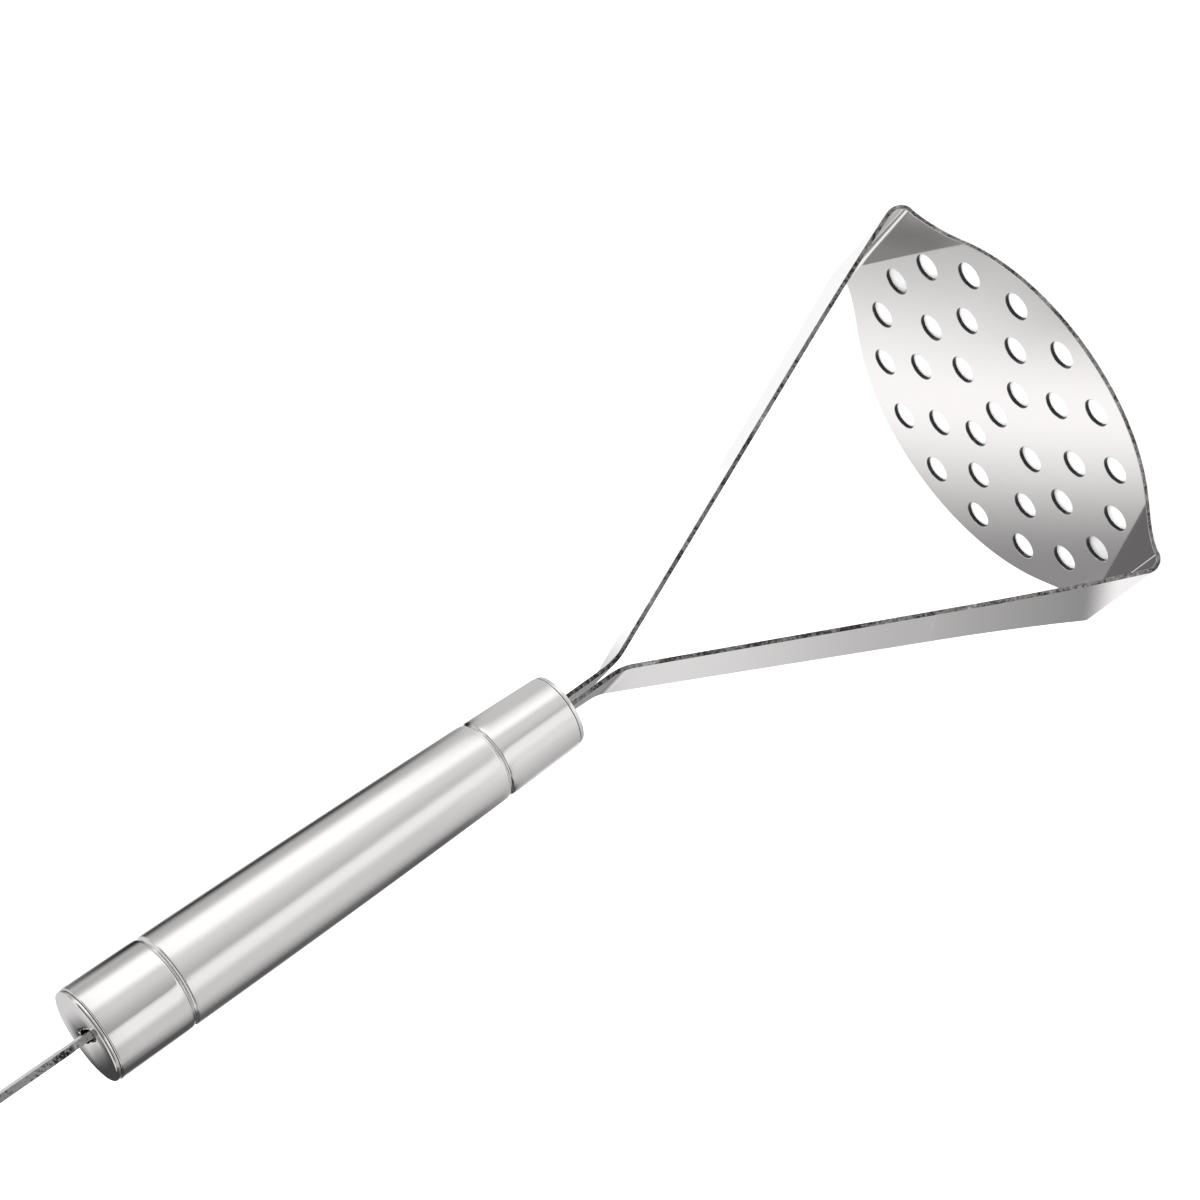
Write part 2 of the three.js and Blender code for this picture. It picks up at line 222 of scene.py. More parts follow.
def soften(points, reach, steps=5):
    """Rounds each corner of a closed outline: near a corner the line leaves one side `reach` before
    it and joins the next side `reach` after it on a parabola. `reach` is one number per corner."""
    corner = np.asarray(points, float)
    before = np.roll(corner, 1, 0) - corner
    after = np.roll(corner, -1, 0) - corner
    spans = [np.linalg.norm(side, axis=1) for side in (before, after)]
    cut = [np.minimum(reach, 0.49 * span)[:, None] / span[:, None] for span in spans]
    start = corner + before * cut[0]
    end = corner + after * cut[1]
    t = np.linspace(0, 1, steps)[None, :, None]
    curve = (1 - t) ** 2 * start[:, None] + 2 * t * (1 - t) * corner[:, None] + t**2 * end[:, None]
    return curve.reshape(-1, 2)


def circle(count):
    """Evenly spaced angles, once round."""
    return np.arange(count) * 2 * math.pi / count


def unit(angle):
    """Unit vectors at these angles, one to a row."""
    return np.column_stack([np.cos(angle), np.sin(angle)])


def at_height(flat, height):
    """Flat points or leans, each with the same third coordinate."""
    return np.column_stack([flat, np.full(len(flat), height)])


def quads_between(index):
    """Quads between neighbouring rows and columns of a table of point numbers."""
    corners = index[:-1, :-1], index[1:, :-1], index[1:, 1:], index[:-1, 1:]
    return np.stack(corners, axis=-1).reshape(-1, 4).tolist()


def outward(loop):
    """The direction that points away from the metal, at each point of a loop that runs
    anticlockwise round the metal or clockwise round a hole."""
    along = np.roll(loop, -1, 0) - np.roll(loop, 1, 0)
    along /= np.linalg.norm(along, axis=1, keepdims=True)
    return np.stack([along[:, 1], -along[:, 0]], axis=1)


def in_metal(points, loops):
    """Which points lie in the metal: a line from them to the right crosses the loops an odd number
    of times."""
    x, y = points[:, :1], points[:, 1:]
    crossings = np.zeros(len(points), int)
    for loop in loops:
        (x0, y0), (x1, y1) = loop.T, np.roll(loop, -1, 0).T
        spans = (y0 > y) != (y1 > y)
        rise = np.where(y1 == y0, 1.0, y1 - y0)
        crossings += (spans & (x < x0 + (y - y0) * (x1 - x0) / rise)).sum(axis=1)
    return crossings % 2 == 1


def edge_profile(half, over, under, steps=5):
    """Section of a sheared edge from the upper face to the lower one. Each row says how far the
    edge stands back and its height, then how its normal leans outward and upward."""
    angle = np.linspace(0, math.pi / 2, steps)
    top = [over * (1 - np.sin(angle)), half - over * (1 - np.cos(angle)), np.sin(angle), np.cos(angle)]
    low = [under * (1 - np.cos(angle)), -half + under * (1 - np.sin(angle)), np.cos(angle), -np.sin(angle)]
    return np.concatenate([np.stack(top, 1), np.stack(low, 1)])


def triangulate(loops, rows):
    """Triangles of a flat sheet between loops, the first round the metal and the others round its
    holes, and along rows of points that lie in it. Returns all the points, the loops' first, and the
    triangles, anticlockwise."""
    lines = loops + rows
    flat = np.concatenate(lines)
    edges = []
    for number, line in enumerate(lines):
        ids = sum(map(len, lines[:number])) + np.arange(len(line))
        closed = np.stack([ids, np.roll(ids, -1)], 1).tolist()
        edges += closed if number < len(loops) else closed[:-1]
    scaled = [Vector(point) for point in (flat / MM).tolist()]
    whole_hull, nearness = 0, 1e-5
    made = delaunay_2d_cdt(scaled, edges, [], whole_hull, nearness, True)
    first_of = np.array([min(ids) if ids else -1 for ids in made[3]])
    if (first_of < 0).any():
        raise RuntimeError("a row of the sheet crosses its outline")
    triangles = first_of[np.array([list(face) for face in made[2]])]
    triangles = triangles[in_metal(flat[triangles].mean(axis=1), loops)]
    a, b, c = (flat[triangles[:, k]] for k in range(3))
    area = (b - a)[:, 0] * (c - a)[:, 1] - (b - a)[:, 1] * (c - a)[:, 0]
    triangles[area < 0] = triangles[area < 0][:, ::-1]
    return flat, triangles


def edge_faces(loops, rings):
    """Quads of the cut edges, an array for each step down from ring to ring. A ring holds the
    numbers of the points at one level of the section, loop after loop."""
    starts = np.cumsum([0] + [len(loop) for loop in loops])
    following = np.concatenate([
        np.roll(np.arange(first, last), -1) for first, last in zip(starts[:-1], starts[1:])
    ])
    return [
        np.stack([upper, lower, lower[following], upper[following]], 1)
        for upper, lower in zip(rings[:-1], rings[1:])
    ]


def cut_sheet(loops, rows, thickness, over, under):
    """A sheet cut to loops, flat: the first loop is its outline and the others its holes. Both
    faces are triangulated between the loops, set back by the edge's rounding, and along `rows`
    where the sheet will bend. An edge is its section carried round each loop.
    Returns points (along, across, height), their normals, the faces and each face's material: 0 on
    the sheet's faces, 1 on its outer edge and 2 in its holes."""
    profile = edge_profile(thickness / 2, over, under)
    middle = profile[1:-1]
    aways = [outward(loop) for loop in loops]
    rim = [loop - over * away for loop, away in zip(loops, aways)]
    flat, triangles = triangulate(rim, rows)
    loop_points, away = np.concatenate(loops), np.concatenate(aways)
    count, rim_count = len(flat), len(loop_points)
    # The lower face stands back by its own, smaller rounding.
    low_flat = flat.copy()
    low_flat[:rim_count] = loop_points - under * away
    points = np.concatenate(
        [at_height(flat, thickness / 2), at_height(low_flat, -thickness / 2)]
        + [at_height(loop_points - back * away, height) for back, height, _, _ in middle])
    upright = np.zeros_like(flat)
    normals = np.concatenate(
        [at_height(upright, 1.0), at_height(upright, -1.0)]
        + [at_height(lean * away, up) for _, _, lean, up in middle])
    ring = np.arange(rim_count)
    below = [2 * count + k * rim_count + ring for k in range(len(middle))]
    sides = edge_faces(loops, [ring, *below, count + ring])
    rounding = len(profile) // 2 - 1
    faces = triangles.tolist() + (triangles[:, ::-1] + count).tolist()
    materials = [0] * len(faces)
    cut = np.where(ring < len(loops[0]), 1, 2)
    for k, quads in enumerate(sides):
        faces += quads.tolist()
        materials += (cut * (k >= rounding - 1)).tolist()
    used = np.unique(np.concatenate(faces))
    renumber = np.full(len(points), -1)
    renumber[used] = np.arange(len(used))
    faces = [renumber[face].tolist() for face in faces]
    return points[used], normals[used], faces, materials


# ---- Shader groups ----


class NodeTree:
    """Short names for making and joining nodes."""

    def __init__(self, tree):
        self.tree = tree

    def node(self, kind, inputs=(), **settings):
        made = self.tree.nodes.new(kind)
        for key, value in settings.items():
            setattr(made, key, value)
        for key, value in dict(inputs).items():
            if isinstance(value, bpy.types.NodeSocket):
                self.tree.links.new(value, made.inputs[key])
            else:
                made.inputs[key].default_value = value
        return made

    def math(self, operation, *values):
        made = self.node("ShaderNodeMath", enumerate(values), operation=operation)
        return made.outputs[0]

    def range(self, value, low, high, to_low, to_high, smooth=True):
        made = self.node("ShaderNodeMapRange", {0: value, 1: low, 2: high, 3: to_low, 4: to_high},
                         interpolation_type="SMOOTHSTEP" if smooth else "LINEAR")
        return made.outputs[0]

    def noise(self, vector, scale, detail=4.0, roughness=0.5):
        made = self.node("ShaderNodeTexNoise", {"Vector": vector, "Scale": scale, "Detail": detail,
                                               "Roughness": roughness})
        return made.outputs["Fac"]

    def stretched(self, vector, scale):
        made = self.node("ShaderNodeMapping", {"Vector": vector, "Scale": scale})
        return made.outputs[0]

    def blend(self, factor, one, other):
        made = self.node("ShaderNodeMix", data_type="RGBA")
        for socket, value in zip((made.inputs[0], made.inputs[6], made.inputs[7]), (factor, one, other)):
            if isinstance(value, bpy.types.NodeSocket):
                self.tree.links.new(value, socket)
            else:
                socket.default_value = value
        return made.outputs[2]


def group(name, inputs, outputs, build):
    """A shader node group. `inputs` are (name, kind, default), and `build` gets the tree's maker
    and the input sockets by name, and returns the output sockets by name."""
    tree = bpy.data.node_groups.new(name, "ShaderNodeTree")
    for label, kind, default in inputs:
        socket = tree.interface.new_socket(label, in_out="INPUT", socket_type=kind)
        if default is not None:
            socket.default_value = default
    for label, kind in outputs:
        tree.interface.new_socket(label, in_out="OUTPUT", socket_type=kind)
    make = NodeTree(tree)
    given = make.node("NodeGroupInput")
    result = make.node("NodeGroupOutput")
    for label, socket in build(make, given.outputs).items():
        tree.links.new(socket, result.inputs[label])
    return tree


FLOAT, COLOUR, VECTOR = "NodeSocketFloat", "NodeSocketColor", "NodeSocketVector"


def grain_group():
    """Fine lines of rolling or brushing that run along the vector's first axis, with soft haze.
    The noise's scales are per metre."""

    def build(make, given):
        fine_lines, broad_lines, clouds = (60.0, 5200.0, 5200.0), (25.0, 900.0, 900.0), 60.0
        fine = make.noise(make.stretched(given["Vector"], fine_lines), 1.0, 3.0, 0.6)
        broad = make.noise(make.stretched(given["Vector"], broad_lines), 1.0, 3.0)
        haze = make.noise(given["Vector"], clouds, 3.0)
        line = make.math("ADD", make.math("MULTIPLY", fine, 0.6), make.math("MULTIPLY", broad, 0.4))
        spread = make.math("MULTIPLY", make.range(line, 0.3, 0.7, -1.0, 1.0), given["Line"])
        cloud = make.math("MULTIPLY", make.range(haze, 0.35, 0.65, -1.0, 1.0), given["Haze"])
        rough = make.math("ADD", given["Roughness"], make.math("ADD", spread, cloud))
        streaks = make.math("MULTIPLY", make.range(line, 0.3, 0.7, 1.0, 0.0), given["Streak"])
        tone = make.math("SUBTRACT", 1.0, streaks)
        shaded = make.node("ShaderNodeVectorMath", {0: given["Colour"], 1: tone}, operation="MULTIPLY")
        return {
            "Colour": shaded.outputs[0],
            "Roughness": make.math("MAXIMUM", rough, 0.015),
            "Height": line,
        }

    return group(
        "steel_grain",
        [("Vector", VECTOR, None), ("Colour", COLOUR, (0.8, 0.8, 0.8, 1.0)),
         ("Roughness", FLOAT, 0.1), ("Line", FLOAT, 0.02), ("Haze", FLOAT, 0.02),
         ("Streak", FLOAT, 0.02)],
        [("Colour", COLOUR), ("Roughness", FLOAT), ("Height", FLOAT)],
        build,
    )


def shear_group():
    """A sheared edge: a burnished band and a torn grey band, mottled along their length."""

    def build(make, given):
        fine, coarse, lengthwise = 1500.0, 260.0, (1.0, 1.0, 0.6)
        spots = make.noise(given["Vector"], fine, 4.0, 0.65)
        patches = make.noise(make.stretched(given["Vector"], lengthwise), coarse, 3.0)
        mixed = make.math("ADD", make.math("MULTIPLY", spots, 0.6), make.math("MULTIPLY", patches, 0.4))
        dark = make.range(mixed, 0.41, 0.54, 0.0, 1.0)
        bright = make.range(mixed, 0.55, 0.68, 0.0, 1.0)
        base = make.blend(dark, given["Dark"], given["Colour"])
        worn = make.blend(make.math("MULTIPLY", bright, given["Shine"]), base, (0.8, 0.8, 0.81, 1.0))
        rough = make.range(mixed, 0.35, 0.7, 0.55, 0.3)
        return {"Colour": worn, "Roughness": rough, "Height": mixed}

    return group(
        "sheared_edge",
        [("Vector", VECTOR, None), ("Colour", COLOUR, (0.3, 0.3, 0.3, 1.0)),
         ("Dark", COLOUR, (0.03, 0.03, 0.03, 1.0)), ("Shine", FLOAT, 0.5)],
        [("Colour", COLOUR), ("Roughness", FLOAT), ("Height", FLOAT)],
        build,
    )


# ---- Materials ----


def steel_material(name, height_step):
    """A metal material ready for its colour, roughness and height."""
    material = bpy.data.materials.new(name)
    material.use_nodes = True
    make = NodeTree(material.node_tree)
    shader = material.node_tree.nodes["Principled BSDF"]
    shader.inputs["Metallic"].default_value = 1.0
    bump = make.node("ShaderNodeBump", {"Strength": 1.0, "Distance": height_step})
    material.node_tree.links.new(bump.outputs[0], shader.inputs["Normal"])
    return material, make, shader, bump


def wire(make, shader, bump, effect):
    """Feeds the shader and its bump from a shader group's outputs."""
    links = make.tree.links
    links.new(effect.outputs["Colour"], shader.inputs["Base Color"])
    links.new(effect.outputs["Roughness"], shader.inputs["Roughness"])
    links.new(effect.outputs["Height"], bump.inputs["Height"])


def rgba(rgb):
    return (*rgb, 1.0)


def object_place(make):
    return make.node("ShaderNodeTexCoord").outputs["Object"]


def along_strip(make):
    """The strip's own length and width, so that the rolling lines follow its folds."""
    return make.node("ShaderNodeUVMap", uv_map="along_strip").outputs[0]


def up_the_handle(make):
    """Object coordinates with Z first, so that the grain's lines run lengthwise."""
    x, y, z = make.node("ShaderNodeSeparateXYZ", {0: object_place(make)}).outputs
    return make.node("ShaderNodeCombineXYZ", {0: z, 1: x, 2: y}).outputs[0]


def grained(name, steel, place=object_place, *, roughness, line, haze, step):
    """Steel with fine lines along the first axis of its `place`, `step` metres deep."""
    material, make, shader, bump = steel_material(name, step)
    given = {"Vector": place(make), "Colour": rgba(steel), "Roughness": roughness, "Line": line,
             "Haze": haze}
    wire(make, shader, bump, make.node("ShaderNodeGroup", given, node_tree=shared("steel_grain")))
    return material


def sheared(name, steel, shine):
    """Steel as the die or the shear left it. `shine` is how much of it is burnished."""
    material, make, shader, bump = steel_material(name, 0.04 * MM)
    given = {"Vector": object_place(make), "Colour": rgba(steel), "Shine": shine}
    wire(make, shader, bump, make.node("ShaderNodeGroup", given, node_tree=shared("sheared_edge")))
    return material


def handle_material(st):
    """The tube's steel: satin between the grooves and mirror polished outside them."""
    material, make, shader, bump = steel_material("handle_steel", 0.0012 * MM)
    height = make.node("ShaderNodeSeparateXYZ", {0: object_place(make)}).outputs[2]
    front, rear = groove_heights(st)
    blur = 0.3 * MM
    above = make.range(height, front - blur, front + blur, 0.0, 1.0)
    below = make.range(height, rear - blur, rear + blur, 1.0, 0.0)
    satin = make.math("MULTIPLY", above, below)

    def either(polished, brushed):
        return make.range(satin, 0.0, 1.0, polished, brushed, smooth=False)

    given = {"Vector": up_the_handle(make), "Colour": rgba(st.steel), "Haze": 0.01,
             "Roughness": either(0.03, 0.2), "Line": either(0.006, 0.05)}
    effect = make.node("ShaderNodeGroup", given, node_tree=shared("steel_grain"))
    wire(make, shader, bump, effect)
    lines_only = make.math("MULTIPLY", effect.outputs["Height"], satin)
    make.tree.links.new(lines_only, bump.inputs["Height"])
    return material


def weld_material(st):
    """Weld metal: rough, gritty and tinted in patches by the heat."""
    material, make, shader, bump = steel_material("weld_steel", 0.05 * MM)
    place = object_place(make)
    grit = make.noise(place, 1500.0, 4.0, 0.6)
    tint = make.noise(place, 350.0, 2.0)
    colour_out = make.blend(make.range(tint, 0.4, 0.62, 0.0, 1.0), rgba(st.steel), rgba(st.tint))
    links = make.tree.links
    links.new(colour_out, shader.inputs["Base Color"])
    links.new(make.range(grit, 0.3, 0.7, 0.35, 0.6), shader.inputs["Roughness"])
    links.new(grit, bump.inputs["Height"])
    return material


def shared(name):
    """A shader group by its name, made when it is first asked for."""
    makers = {"steel_grain": grain_group, "sheared_edge": shear_group}
    return bpy.data.node_groups.get(name) or makers[name]()


def settle(piece, materials, slot, *nodes):
    """Gives a piece its materials and its place in the frame."""
    for material in materials:
        piece.data.materials.append(material)
    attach(piece, "root")
    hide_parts(*nodes)
    return piece


# ---- Blade ----


class StripSide:
    """One side of the strip's middle line in XZ, from the plate's centre to the end of its tang:
    straight along the plate, round the fold, straight up the arm, round the upper bend and straight
    up the tang. Its heading turns evenly round each bend, and its place is the heading's running sum."""

    def __init__(self, st, tang_x):
        corner = np.array([st.fold_span / 2, st.sheet / 2])
        top = np.array([tang_x, st.bend_height])
        arm = top - corner
        lean = math.atan2(arm[1], arm[0])
        radii = (st.fold_radius + st.sheet / 2, st.bend_radius + st.sheet / 2)
        turns = (lean, math.pi / 2 - lean)
        setbacks = [r * math.tan(abs(t) / 2) for r, t in zip(radii, turns)]
        self.fold_start = corner[0] - setbacks[0]
        self.fold_end = self.fold_start + radii[0] * abs(turns[0])
        self.bend_start = self.fold_end + float(np.hypot(*arm)) - sum(setbacks)
        self.bend_end = self.bend_start + radii[1] * abs(turns[1])
        self.end = self.bend_end + BLADE_HIGH.z - (top[1] + setbacks[1])
        steps = 40000
        self.along = np.linspace(0, self.end, steps + 1)
        first = np.clip((self.along - self.fold_start) / (self.fold_end - self.fold_start), 0, 1)
        second = np.clip((self.along - self.bend_start) / (self.bend_end - self.bend_start), 0, 1)
        self.heading = turns[0] * first + turns[1] * second
        step = self.along[1]

        def running(rate):
            middle = (rate[1:] + rate[:-1]) / 2
            return np.concatenate([[0], np.cumsum(middle) * step])

        self.x = running(np.cos(self.heading))
        self.z = st.sheet / 2 + running(np.sin(self.heading))

    def at(self, along):
        """X, Z and heading at distances along the strip."""
        return [np.interp(along, self.along, values) for values in (self.x, self.z, self.heading)]


def strip_half_width(st, z, bend_z, spread):
    """Half the strip's width at a height: a straight taper with a parabolic flare to the neck, and
    a cubic one of `spread`, then a quick taper over the upper bend to the tang's width."""
    taper = st.arm_width_low + (st.arm_width_high - st.arm_width_low) * z / bend_z
    left = np.clip(1 - z / st.flare_height, 0, 1)
    arm = taper + (st.neck_width - st.arm_width_low) * left**2 + 2 * spread * left**3
    tang_z = FRONT_LOW.z - 0.4 * MM
    tang = np.interp(z, [bend_z, tang_z], [st.arm_width_high, st.tang_width])
    return np.where(z < bend_z, arm, tang) / 2


def quadrant(st, side, spread=0.0):
    """A quarter of the strip's outline, laid flat, from the end of a tang to just short of the
    plate's middle: the arm's edge, an S-shaped neck and the round side. Gives the points and how
    many of them lie on the arm. `spread` widens it at the neck."""
    arm = np.unique(np.concatenate([
        np.linspace(side.fold_start, side.fold_end, 17),
        np.linspace(side.fold_end, side.bend_start, 41),
        np.linspace(side.bend_start, side.bend_end, 13),
        np.linspace(side.bend_end, side.end, 9),
    ]).round(9))[::-1]
    _, z, _ = side.at(arm)
    bend_z = side.at(side.bend_start)[1]
    arm_edge = np.column_stack([arm, strip_half_width(st, z, bend_z, spread)])
    pull_out, pull_in, lean = 5.5 * MM, 4 * MM, math.radians(25)
    start = arm_edge[-1]
    c, s = math.cos(st.neck_start), math.sin(st.neck_start)
    on_round = st.plate_radius * np.array([c, s])
    controls = np.array([
        start,
        start + pull_in * np.array([-math.cos(lean), math.sin(lean)]),
        on_round + pull_out * np.array([s, -c]),
        on_round,
    ])
    t = np.linspace(0, 1, 15)[1:, None]
    neck = ((1 - t) ** 3 * controls[0] + 3 * t * (1 - t) ** 2 * controls[1]
            + 3 * t**2 * (1 - t) * controls[2] + t**3 * controls[3])
    angle = np.linspace(st.neck_start, math.pi / 2, 25)[1:-1]
    return np.concatenate([arm_edge, neck, st.plate_radius * unit(angle)]), len(arm_edge)


HOLE_RINGS = ((0, 1), (11.4 * MM, 4), (22.1 * MM, 10), (33.9 * MM, 16))  # radius, number of holes


def hole_loops(st, segments):
    """The plate's holes, clockwise: one at the centre and three evenly spaced rings."""
    centres = np.concatenate([radius * unit(circle(count)) for radius, count in HOLE_RINGS])
    rim = st.hole / 2 * unit(-circle(segments))
    return [centre + rim for centre in centres]


def fold_up(points, normals, right, left):
    """Carries the flat strip onto its folded middle lines. A point's distance along the strip gives
    its place on the line, its height is measured along the line's normal, and its width stays."""
    along, across, height = points.T
    right_side = along >= 0
    x, z, heading = (np.where(right_side, a, b) for a, b in zip(right.at(np.abs(along)),
                                                                left.at(np.abs(along))))
    sign = np.where(right_side, 1.0, -1.0)
    tangent = np.column_stack([np.cos(heading), np.zeros_like(x), sign * np.sin(heading)])
    upward = np.column_stack([-sign * np.sin(heading), np.zeros_like(x), np.cos(heading)])
    place = np.column_stack([sign * x, across, z]) + height[:, None] * upward
    turned = normals[:, :1] * tangent + normals[:, 2:] * upward
    turned[:, 1] += normals[:, 1]
    return place, turned


class MASHER_OT_blade(bpy.types.Operator):
    """Cut, pierce and fold the strip that makes the plate, the arms and the tangs"""

    bl_idname = "masher.blade"
    bl_label = "Blade"

    def execute(self, context):
        st = context.scene.masher_blade
        tang_x = (st.tang_gap + st.sheet) / 2
        right, left = StripSide(st, tang_x + HANDLE_X), StripSide(st, tang_x - HANDLE_X)
        right_edge, right_arm = quadrant(st, right)
        wide_edge, _ = quadrant(st, right, st.neck_spread)
        left_edge, left_arm = quadrant(st, left)
        cross = np.linspace(0, 1, 9)[:, None]
        inner = 2 * cross[1:-1, 0] - 1
        right_end = np.column_stack([np.full(len(inner), right.end), inner * right_edge[0, 1]])
        left_end = np.column_stack([np.full(len(inner), -left.end), -inner * left_edge[0, 1]])
        middle = np.array([[0, st.plate_radius]])
        parts = [
            right_end, right_edge, middle, (left_edge * [-1, 1])[::-1],
            left_end, -left_edge, -middle, (wide_edge * [1, -1])[::-1],
        ]
        outline = np.concatenate(parts)
        starts = np.cumsum([0] + [len(part) for part in parts])
        rim = outline - st.roll_over * outward(outline)
        # An arm's rows start at its tang's corners on the +Y and -Y sides and step down the edges.
        tangs = ((starts[1], starts[8] - 1, 1, right_arm), (starts[4] - 1, starts[5], -1, left_arm))
        rows = [
            rim[upper + step * k] * (1 - cross) + rim[lower - step * k] * cross
            for upper, lower, step, count in tangs for k in range(1, count)
        ]
        holes = hole_loops(st, context.scene.masher_studio.segments // 2)
        points, normals, faces, face_materials = cut_sheet(
            [outline, *holes], rows, st.sheet, st.roll_over, st.burr_round)
        place, turned = fold_up(points, normals, right, left)
        blade = mesh_object("blade", place, faces, face_materials, turned, points[:, :2])
        buffed = grained("blade_steel", st.face, along_strip,
                         roughness=0.045, line=0.012, haze=0.012, step=0.0004 * MM)
        # The second edge material, on the holes' walls, is nearly black: painted shade in the holes.
        edges = [sheared("blade_edge", st.edge, shine=0.45),
                 sheared("hole_wall_painted_shade", st.hole_shade, shine=0.12)]
        settle(blade, [buffed, *edges], "blade_steel", "masher_blade")
        return {"FINISHED"}


# ---- Handle ----


def groove_heights(st):
    """Heights of the middles of the two grooves."""
    return TUBE_LOW.z + st.front_groove, TUBE_HIGH.z - st.rear_groove


def tube_radius(st, z):
    """Outside radius: a straight taper with a low parabolic swell, less the rolled grooves. A groove
    is a narrow bell with a wide shallow one that rounds its shoulders."""
    share_along = (z - TUBE_LOW.z) / (TUBE_HIGH.z - TUBE_LOW.z)
    radius = st.front_radius + (st.rear_radius - st.front_radius) * share_along
    radius = radius + 4 * st.bulge * share_along * (1 - share_along)
    for middle in groove_heights(st):
        for part, width in ((0.88, st.groove_width), (0.12, st.shoulder)):
            radius = radius - part * st.groove_depth * np.exp(-(((z - middle) / width) ** 2))
    return radius


def lathe(profile, segments, centre_x=0.0):
    """Rings of a body of revolution about the handle's axis, one ring for each (radius, height)."""
    angle = circle(segments)
    radius, height = profile[:, :1], profile[:, 1:]
    x = centre_x + radius * np.cos(angle)
    y = radius * np.sin(angle)
    return np.stack([x, y, np.broadcast_to(height, x.shape)], axis=-1)


class MASHER_OT_handle(bpy.types.Operator):
    """Draw the hollow handle with its two rolled grooves"""

    bl_idname = "masher.handle"
    bl_label = "Handle"

    def execute(self, context):
        st = context.scene.masher_handle
        low, high = TUBE_LOW.z, TUBE_HIGH.z
        near = [middle + np.linspace(-4, 4, 81) * MM for middle in groove_heights(st)]
        heights = np.unique(np.concatenate([np.linspace(low, high, 60), *near]))
        rounding = 0.3 * MM
        lip = np.linspace(0, 1, 7)
        ease = rounding * (1 - np.sqrt(1 - (1 - lip) ** 2))
        front_lip = np.column_stack([tube_radius(st, low + lip * rounding) - ease, low + lip * rounding])
        rear_z = high - lip[::-1] * rounding
        rear_lip = np.column_stack([tube_radius(st, rear_z) - ease[::-1], rear_z])
        body = heights[(heights > low + rounding * 1.01) & (heights < high - rounding * 1.01)]
        outside = np.column_stack([tube_radius(st, body), body])
        inner = np.concatenate([[high], body[::-1], [low]])
        inside = np.column_stack([tube_radius(st, inner) - st.wall, inner])
        profile = np.concatenate([front_lip, outside, rear_lip, inside])
        tube = loft("tube", lathe(profile, context.scene.masher_studio.segments, HANDLE_X))
        settle(tube, [handle_material(st)], "handle_steel", "handle_tube")
        return {"FINISHED"}


def rounded_slot(angle, half_x, half_y, power=7.0, wander=0.0):
    """A slot with soft corners: a superellipse, whose size wanders a little as a pressed one does."""
    c, s = np.cos(angle), np.sin(angle)
    grow = 1 + wander * (np.sin(3 * angle + 1.1) + 0.6 * np.sin(5 * angle + 0.4))
    x = half_x * np.sign(c) * np.abs(c) ** (2 / power) * grow
    y = half_y * np.sign(s) * np.abs(s) ** (2 / power) * grow
    return np.column_stack([x, y])


def cap_rings(st, face_z, inward, radius, skirt_end, slot, segments):
    """Rings of a pressed cap, from the skirt's end up its outside, round the flange, over the dished
    face to the slot, and back down the inside. `inward` is +1 when the cap looks down."""
    seat = face_z + inward * st.cap_sheet
    flange = radius - st.cap_inset
    skirt = radius - st.wall - st.skirt_gap
    inner = skirt - st.skirt_wall
    corners = np.array([
        [skirt, skirt_end], [skirt, seat], [flange, seat], [flange, face_z],
        [inner, face_z], [inner, skirt_end],
    ])
    reach = np.array([0.15, 0.1, 0.12, st.cap_edge / MM, 0, 0]) * MM
    steps, outer_corners = 7, 4
    edge = soften(corners, reach, steps)[: steps * outer_corners]
    rim = edge[-1, 0]
    around = unit(circle(segments))
    turned = [at_height(r * around, z) for r, z in edge]
    face, under = [], []
    for t in np.linspace(0, 1, 13)[1:]:
        sink = inward * st.dish * t * t
        face.append(at_height((1 - t) * rim * around + t * slot, face_z + sink))
        under.append(at_height((1 - t) * inner * around + t * slot, seat + sink))
    lip, drawn_in = 0.12 * MM, 0.985
    face.append(at_height(slot * drawn_in, face[-1][0, 2] + inward * lip))
    inside = [at_height(inner * around, z) for z in (seat, skirt_end)]
    return np.array(turned + face + under[::-1] + inside)


def about_handle(points, angle):
    """Turns points about the handle's axis and moves them onto it."""
    c, s = math.cos(angle), math.sin(angle)
    return points @ np.array([[c, s, 0], [-s, c, 0], [0, 0, 1]]) + [HANDLE_X, 0, 0]


class MASHER_OT_caps(bpy.types.Operator):
    """Press the slotted caps that close the handle's ends"""

    bl_idname = "masher.caps"
    bl_label = "Caps"

    def execute(self, context):
        st = context.scene.masher_handle
        blade = context.scene.masher_blade
        bar = context.scene.masher_bar
        segments = context.scene.masher_studio.segments
        tang_room, bar_room = 0.4 * MM, 0.6 * MM
        tang_half = blade.tang_gap / 2 + blade.sheet + tang_room
        slots = {
            "front_cap": rounded_slot(circle(segments), tang_half, blade.tang_width / 2 + tang_room),
            "rear_cap": rounded_slot(circle(segments), bar.thickness / 2 + bar_room,
                                     bar.neck_width / 2 + bar_room, 4.0, 0.08),
        }
        plan = (
            ("front_cap", FRONT_LOW.z, 1, st.front_radius, FRONT_HIGH.z, 0.0),
            ("rear_cap", REAR_HIGH.z, -1, st.rear_radius, REAR_LOW.z, bar.turned),
        )
        for name, face_z, inward, radius, skirt_end, angle in plan:
            rings = cap_rings(st, face_z, inward, radius, skirt_end, slots[name], segments)
            cap = loft("pressed_" + name, about_handle(rings[::-inward], angle))
            steel = grained(name + "_steel", st.steel,
                            roughness=0.05, line=0.012, haze=0.015, step=0.0004 * MM)
            settle(cap, [steel], "cap_steel", name)
        return {"FINISHED"}


# ---- Hanging bar ----


